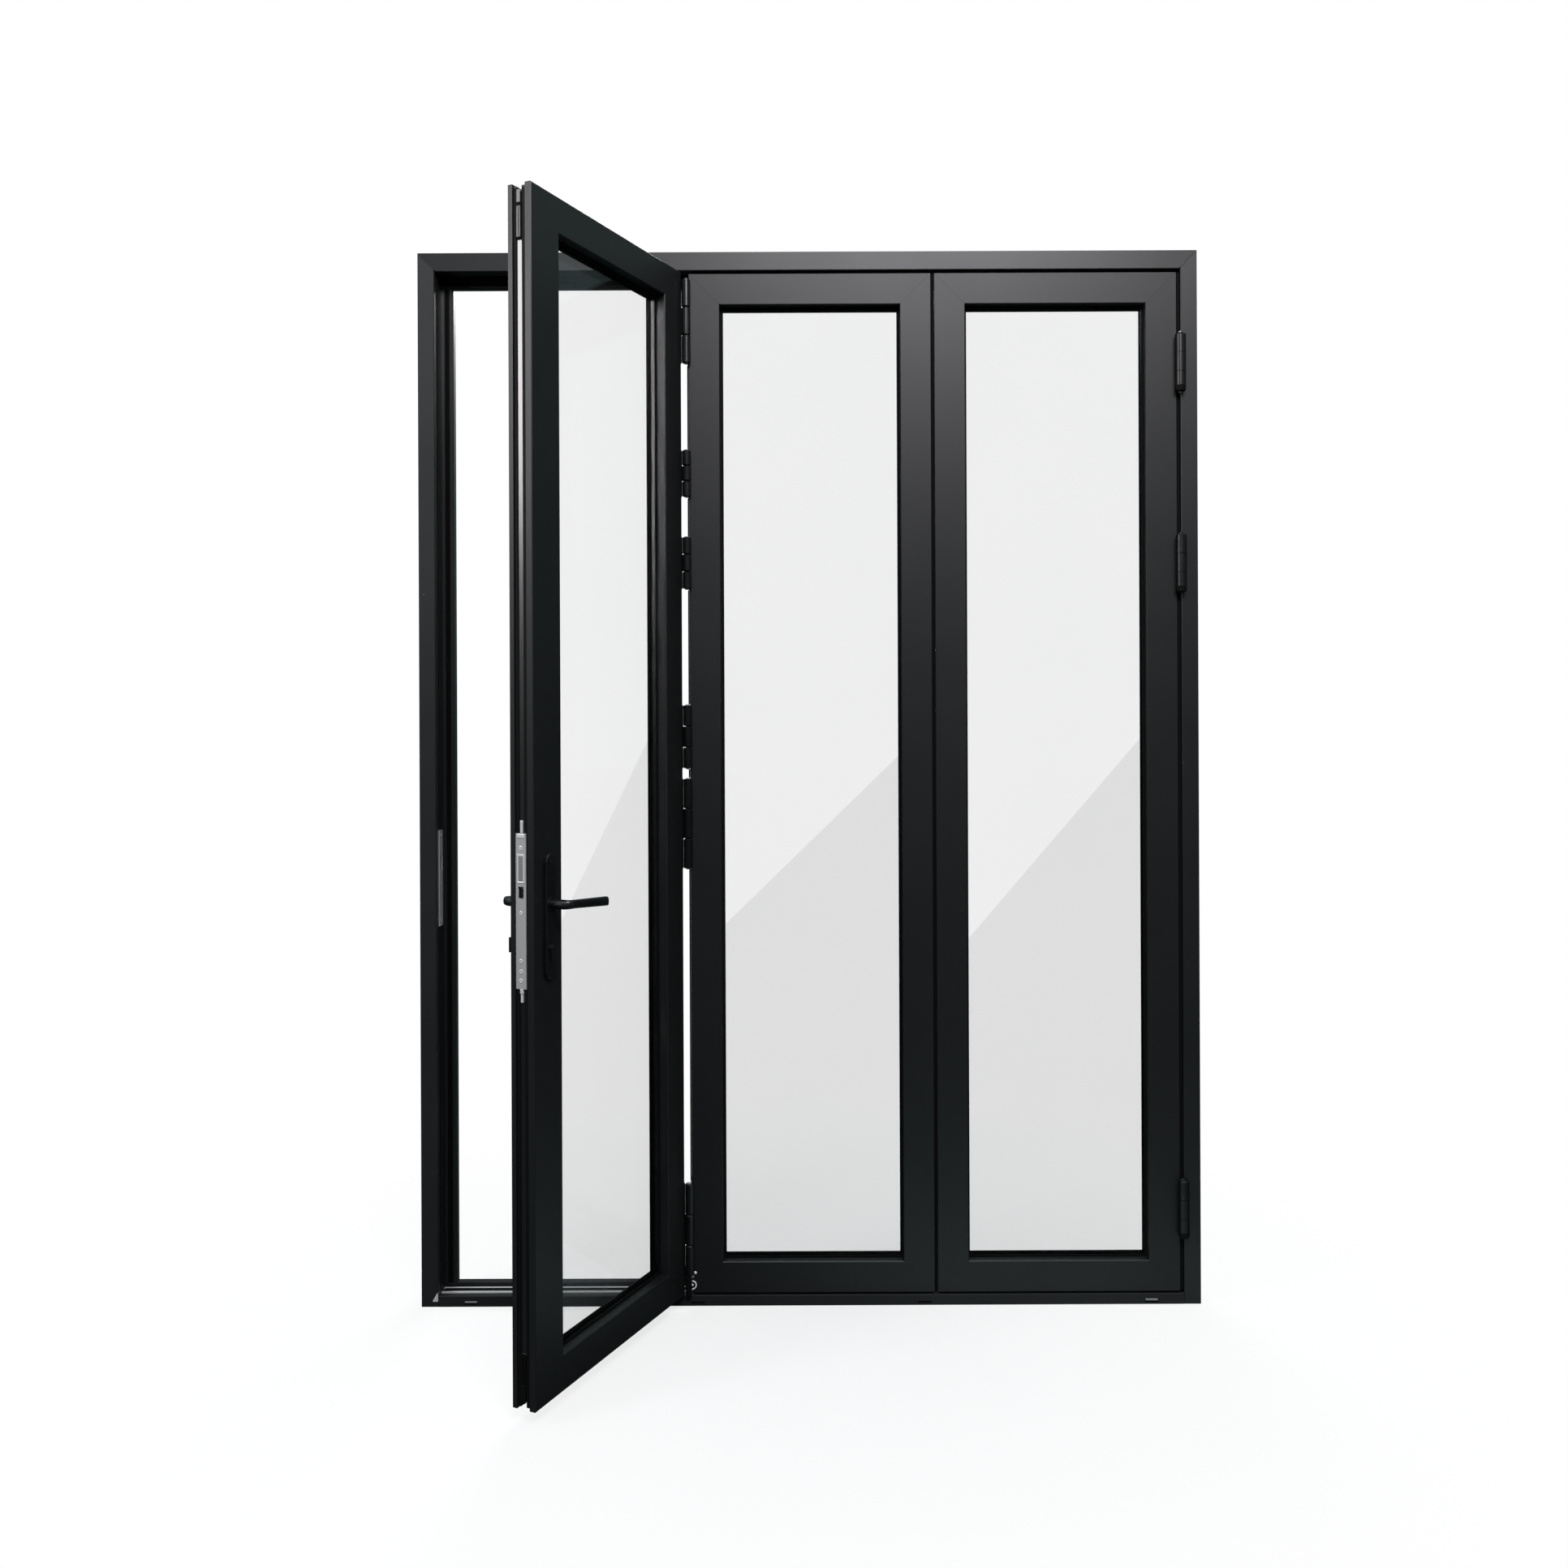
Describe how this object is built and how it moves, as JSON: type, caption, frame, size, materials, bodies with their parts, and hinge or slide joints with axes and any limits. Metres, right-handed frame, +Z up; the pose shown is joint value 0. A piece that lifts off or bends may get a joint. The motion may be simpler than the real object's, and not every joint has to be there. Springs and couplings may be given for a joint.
{
  "type": "bifold glass patio door",
  "caption": "Aluminium-framed bifold glass patio door: folding glazed leaves in an outer frame, with a hinged access leaf standing open on its lever-handled side.",
  "frame": {"origin": "middle of the flat underside of the sill, centred in the frame's width and depth", "axes": "+Z up along the height, +X to the right as seen from outside, +Y into the house"},
  "size_m": [1.775, 0.599, 2.4],
  "materials": {
    "charcoal_powder_coat": "satin powder coat, charcoal black, fine grain",
    "black_hardware": "satin black coated hinges and handles",
    "brushed_steel": "fine brushed stainless steel",
    "bare_aluminium": "mill-finish aluminium track and lock bars",
    "clear_glass": "clear sealed double glazing"
  },
  "bodies": {
    "root": {"access_hinge_1_fixed": "black_hardware", "access_hinge_2_fixed": "black_hardware", "access_hinge_3_fixed": "black_hardware", "access_hinge_4_fixed": "black_hardware", "access_hinge_5_fixed": "black_hardware", "access_hinge_6_fixed": "black_hardware", "bottom_carrier": "bare_aluminium", "bottom_guide_cap": "brushed_steel", "bottom_track": "bare_aluminium", "fold_hinge_lower": "black_hardware", "fold_hinge_middle": "black_hardware", "fold_hinge_upper": "black_hardware", "head": "charcoal_powder_coat", "jamb_hinge_lower": "black_hardware", "jamb_hinge_middle": "black_hardware", "jamb_hinge_upper": "black_hardware", "left_jamb": "charcoal_powder_coat", "middle_leaf_bottom_rail": "charcoal_powder_coat", "middle_leaf_glass": "clear_glass", "middle_leaf_glazing_bead": "charcoal_powder_coat", "middle_leaf_left_stile": "charcoal_powder_coat", "middle_leaf_right_stile": "charcoal_powder_coat", "middle_leaf_top_rail": "charcoal_powder_coat", "right_jamb": "charcoal_powder_coat", "right_leaf_bottom_rail": "charcoal_powder_coat", "right_leaf_glass": "clear_glass", "right_leaf_glazing_bead": "charcoal_powder_coat", "right_leaf_left_stile": "charcoal_powder_coat", "right_leaf_right_stile": "charcoal_powder_coat", "right_leaf_top_rail": "charcoal_powder_coat", "sill": "charcoal_powder_coat", "strike_plate": "brushed_steel", "top_carrier": "bare_aluminium"},
    "access_leaf": {"access_hinge_1_moving": "black_hardware", "access_hinge_2_moving": "black_hardware", "access_hinge_3_moving": "black_hardware", "access_hinge_4_moving": "black_hardware", "access_hinge_5_moving": "black_hardware", "access_hinge_6_moving": "black_hardware", "access_leaf_bottom_rail": "charcoal_powder_coat", "access_leaf_glass": "clear_glass", "access_leaf_glazing_bead": "charcoal_powder_coat", "access_leaf_hinge_stile": "charcoal_powder_coat", "access_leaf_lock_stile": "charcoal_powder_coat", "access_leaf_top_rail": "charcoal_powder_coat", "lock_faceplate": "brushed_steel", "upper_lock_bar": "bare_aluminium", "lower_lock_bar": "bare_aluminium", "outside_handle_plate": "black_hardware", "inside_handle_plate": "black_hardware", "key_cylinder": "black_hardware"},
    "levers": {"outside_lever": "black_hardware", "inside_lever": "black_hardware"},
    "thumb_turn": {"thumb_turn": "black_hardware"}
  },
  "joints": [
    {"name": "access_leaf_swing", "type": "hinge", "parent": "root", "child": "access_leaf", "pos_m": [-0.27525, -0.0505, 1.2], "axis": [0, 0, 1], "range_deg": [-65.5, 104.5]},
    {"name": "lever_turn", "type": "hinge", "parent": "access_leaf", "child": "levers", "pos_m": [-0.50013, -0.51864, 0.983], "axis": [-0.91, 0.4147, 0], "range_deg": [0, 40], "stiffness_Nm_per_rad": 1, "springref_deg": -28.65},
    {"name": "thumb_turn_swivel", "type": "hinge", "parent": "access_leaf", "child": "thumb_turn", "pos_m": [-0.54836, -0.49666, 0.899], "axis": [-0.91, 0.4147, 0], "range_deg": [-90, 90]}
  ]
}
